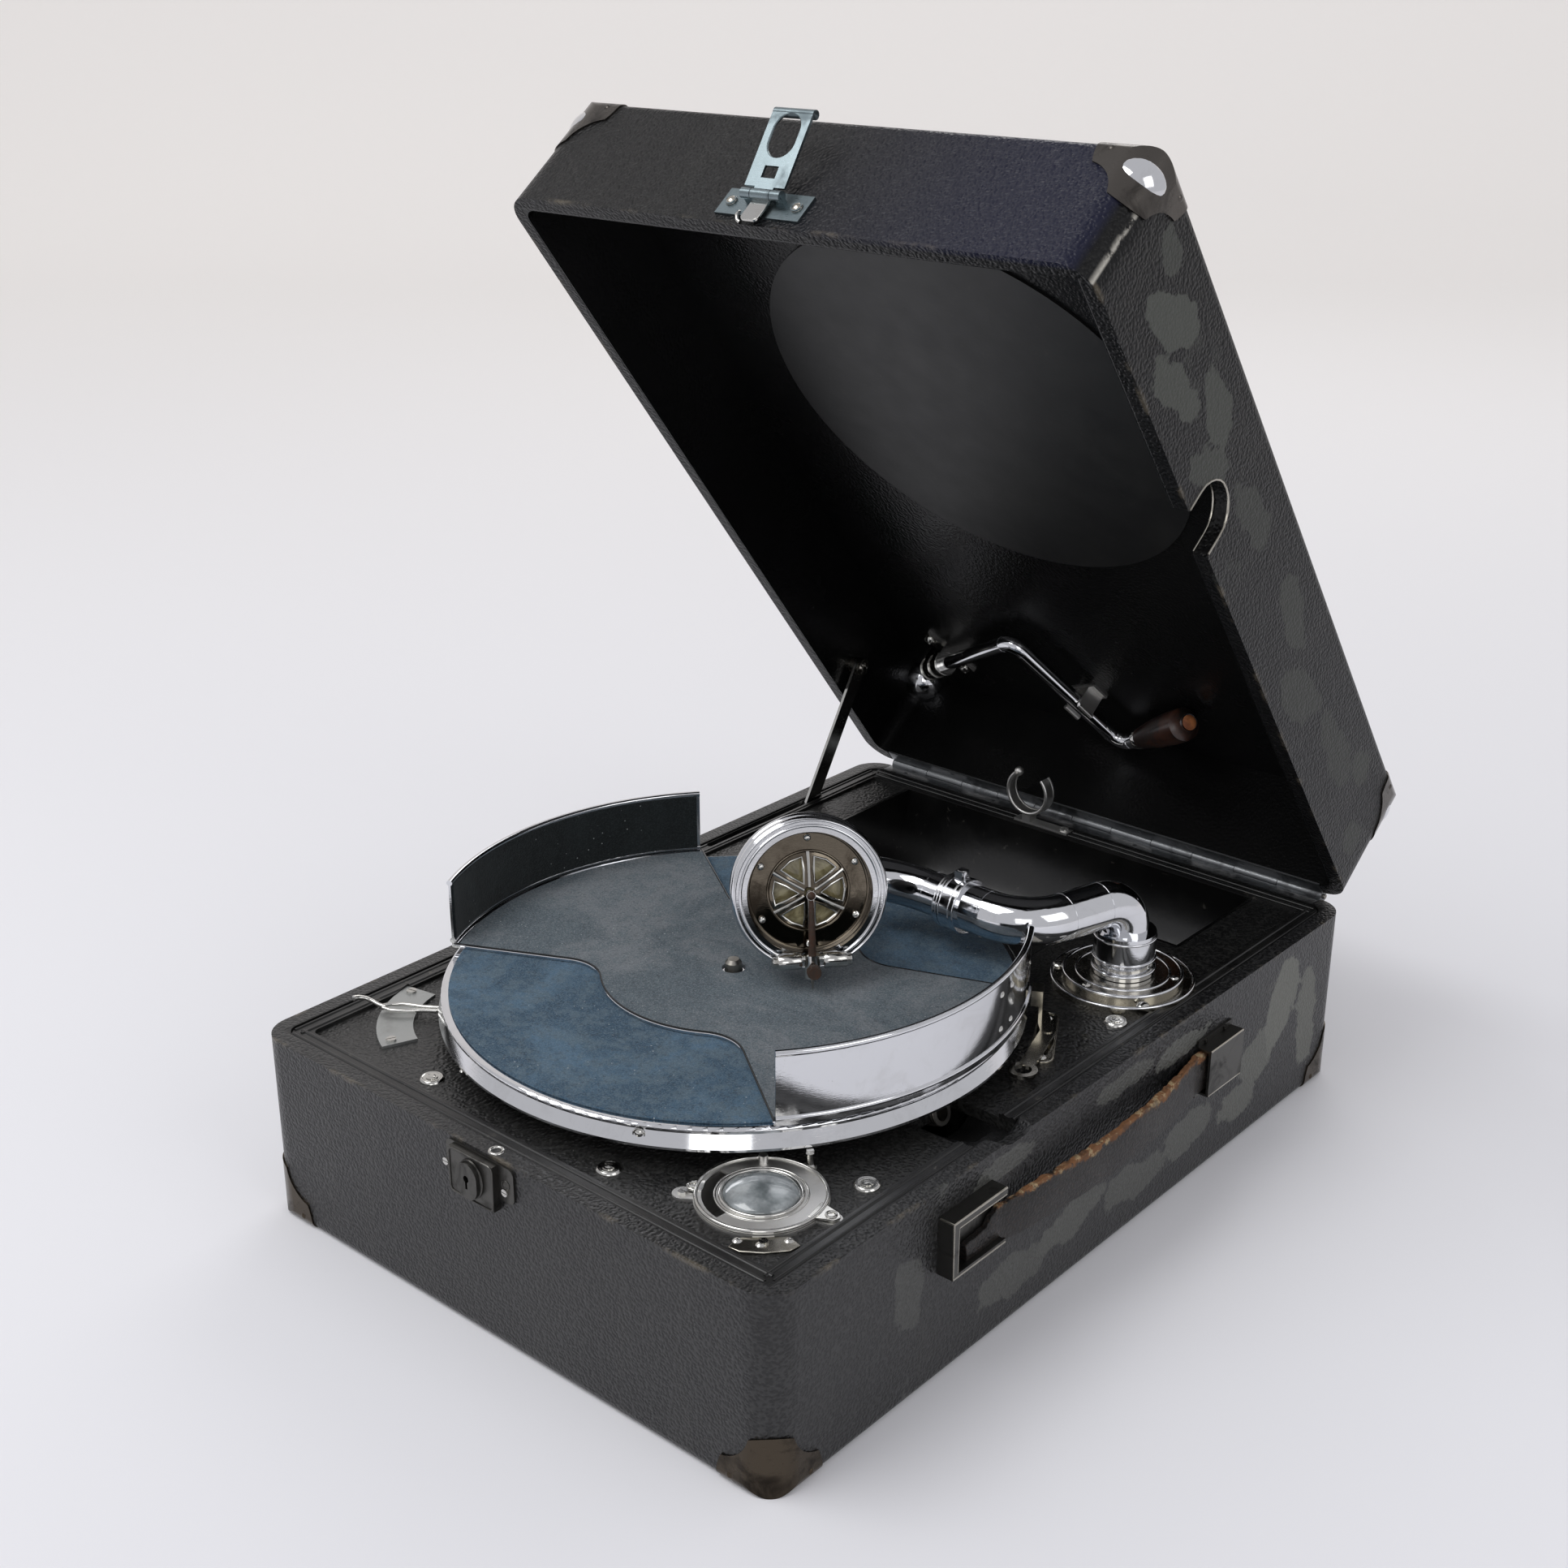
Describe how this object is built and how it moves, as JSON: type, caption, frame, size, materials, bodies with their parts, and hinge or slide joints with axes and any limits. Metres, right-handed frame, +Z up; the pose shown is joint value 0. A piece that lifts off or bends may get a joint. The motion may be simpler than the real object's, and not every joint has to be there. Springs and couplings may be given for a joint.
{
  "type": "portable gramophone",
  "caption": "Wind-up portable gramophone in a black case, lid open, with turntable, record tray, tone arm, winding handle and spring motor.",
  "frame": {"origin": "centre of the flat underside of the base", "axes": "+X to the side with the carrying handle, +Y to the lid hinge, +Z up"},
  "size_m": [0.3029, 0.4656, 0.456],
  "materials": {
    "leathercloth": "satin",
    "deck_cloth": "satin",
    "black_gloss": "gloss",
    "chrome_plate": "polished",
    "nickel_plate": "aged",
    "steel": "machined",
    "blue_felt": "worn",
    "grey_felt": "worn",
    "motor_brass": "satin",
    "cast_grey": "painted",
    "mica": "clear",
    "black_rubber": "matte",
    "fibre": "matte",
    "strap_leather": "worn",
    "knob_wood": "varnished",
    "gilt": "aged",
    "rusty_steel": "rusty"
  },
  "bodies": {
    "base": {"base_case": "leathercloth", "base_corner_caps": "nickel_plate", "deck_board": "deck_cloth", "deck_trim": "black_gloss", "deck_screws": "nickel_plate", "small_screws": "nickel_plate", "horn_mouth": "black_gloss", "horn_duct": "black_gloss", "hinge_base_leaf": "nickel_plate", "hinge_pin": "steel", "lock_body": "nickel_plate", "motor_top_plate": "cast_grey", "motor_lower_plate": "cast_grey", "spindle_bearing": "motor_brass", "winding_bearing": "cast_grey", "regulator_plate": "nickel_plate", "brake_plate": "nickel_plate", "needle_cup": "nickel_plate", "arm_base": "chrome_plate", "arm_clip": "nickel_plate", "handle_brackets": "nickel_plate", "handle_strap": "strap_leather", "stay_guide": "steel"},
    "platter": {"turntable": "nickel_plate", "turntable_felt": "blue_felt", "spindle": "steel", "worm_wheel": "fibre"},
    "intermediate": {"intermediate_gear": "motor_brass"},
    "barrel": {"spring_barrel": "motor_brass", "mainspring": "steel"},
    "governor": {"governor_shaft": "steel", "governor_weights": "cast_grey"},
    "winding": {"winding_shaft": "steel"},
    "arbor": {"winding_arbor": "steel"},
    "regulator": {"speed_lever": "nickel_plate"},
    "brake": {"brake_lever": "nickel_plate"},
    "cup_cover": {"needle_cup_cover": "nickel_plate"},
    "arm": {"tone_arm": "chrome_plate"},
    "goose": {"gooseneck": "chrome_plate", "soundbox_back": "black_rubber", "soundbox_ring": "chrome_plate", "soundbox_cover": "gilt", "diaphragm": "mica", "stylus_bar": "nickel_plate", "needle": "steel"},
    "clamp_screw": {"needle_screw": "rusty_steel"},
    "tray": {"record_tray": "chrome_plate", "tray_felt": "grey_felt"},
    "lid": {"lid_case": "leathercloth", "lid_corner_caps": "nickel_plate", "lid_disc": "black_gloss", "hinge_lid_leaf": "nickel_plate", "hasp_base": "nickel_plate", "crank_bracket": "nickel_plate", "crank_clip": "nickel_plate", "stay_pivot": "nickel_plate"},
    "hasp_plate": {"hasp": "nickel_plate"},
    "handle_crank": {"crank": "nickel_plate"},
    "crank_grip": {"crank_knob": "knob_wood"},
    "stay": {"stay_bar": "steel"}
  },
  "joints": [
    {"name": "lid_hinge", "type": "hinge", "parent": "base", "child": "lid", "pos_m": [0, 0.21, 0.08715], "axis": [-1, 0, 0], "range_deg": [-41, 0]},
    {"name": "stay_turn", "type": "hinge", "parent": "lid", "child": "stay", "pos_m": [-0.134, 0.18102, 0.1508], "axis": [1, 0, 0], "range_deg": [-70.7, 0]},
    {"name": "hasp_hinge", "type": "hinge", "parent": "lid", "child": "hasp_plate", "pos_m": [-0.006, -0.03986, 0.4262], "axis": [1, 0, 0], "range_deg": [0, 160]},
    {"name": "turntable_spin", "type": "hinge", "parent": "base", "child": "platter", "pos_m": [-0.008, -0.058, 0.08], "axis": [0, 0, 1], "continuous": true},
    {"name": "intermediate_spin", "type": "hinge", "parent": "base", "child": "intermediate", "pos_m": [0.007, -0.07825, 0.05], "axis": [0, 0, 1], "continuous": true},
    {"name": "barrel_spin", "type": "hinge", "parent": "base", "child": "barrel", "pos_m": [0.048, -0.062, 0.04], "axis": [0, 0, 1], "continuous": true},
    {"name": "governor_spin", "type": "hinge", "parent": "base", "child": "governor", "pos_m": [-0.02935, -0.058, 0.0415], "axis": [0, 1, 0], "continuous": true},
    {"name": "winding_turn", "type": "hinge", "parent": "base", "child": "winding", "pos_m": [0.048, -0.062, 0.062], "axis": [0.9483, 0, 0.3173], "continuous": true},
    {"name": "arbor_turn", "type": "hinge", "parent": "base", "child": "arbor", "pos_m": [0.048, -0.062, 0.04], "axis": [0, 0, 1], "continuous": true},
    {"name": "speed_lever_turn", "type": "hinge", "parent": "base", "child": "regulator", "pos_m": [-0.076, -0.127, 0.086], "axis": [0, 0, 1], "range_deg": [-12, 12]},
    {"name": "brake_turn", "type": "hinge", "parent": "base", "child": "brake", "pos_m": [0.10856, 0.01011, 0.088], "axis": [0, 0, 1], "range_deg": [0, 5]},
    {"name": "needle_cup_turn", "type": "hinge", "parent": "base", "child": "cup_cover", "pos_m": [0.0965, -0.1574, 0.086], "axis": [0, 0, 1], "range_deg": [0, 100]},
    {"name": "tone_arm_swing", "type": "hinge", "parent": "base", "child": "arm", "pos_m": [0.103, 0.0765, 0.1], "axis": [0, 0, -1], "range_deg": [-4, 75]},
    {"name": "gooseneck_turn", "type": "hinge", "parent": "arm", "child": "goose", "pos_m": [0.04805, 0.02326, 0.126], "axis": [-0.9994, 0.0349, 0], "range_deg": [0, 75]},
    {"name": "needle_screw_turn", "type": "hinge", "parent": "goose", "child": "clamp_screw", "pos_m": [0.02954, -0.05012, 0.11537], "axis": [0.7323, -0.655, 0.1863], "range_deg": [-90, 90]},
    {"name": "tray_turn", "type": "hinge", "parent": "base", "child": "tray", "pos_m": [-0.008, -0.058, 0.105], "axis": [0, 0, 1], "range_deg": [-6, 3]},
    {"name": "crank_swing", "type": "hinge", "parent": "lid", "child": "handle_crank", "pos_m": [-0.1125, 0.21685, 0.14555], "axis": [-0.8271, 0.3461, -0.4429], "range_deg": [0, 25]},
    {"name": "crank_knob_spin", "type": "hinge", "parent": "handle_crank", "child": "crank_grip", "pos_m": [-0.00021, 0.23273, 0.12522], "axis": [0.788, -0.379, 0.4851], "continuous": true}
  ],
  "couplings": [
    {"joint": "stay_turn", "follows": "lid_hinge", "ratio": 1.7},
    {"joint": "intermediate_spin", "follows": "turntable_spin", "ratio": -0.2},
    {"joint": "barrel_spin", "follows": "turntable_spin", "ratio": 0.033333},
    {"joint": "governor_spin", "follows": "turntable_spin", "ratio": -20},
    {"joint": "arbor_turn", "follows": "winding_turn", "ratio": 1}
  ]
}
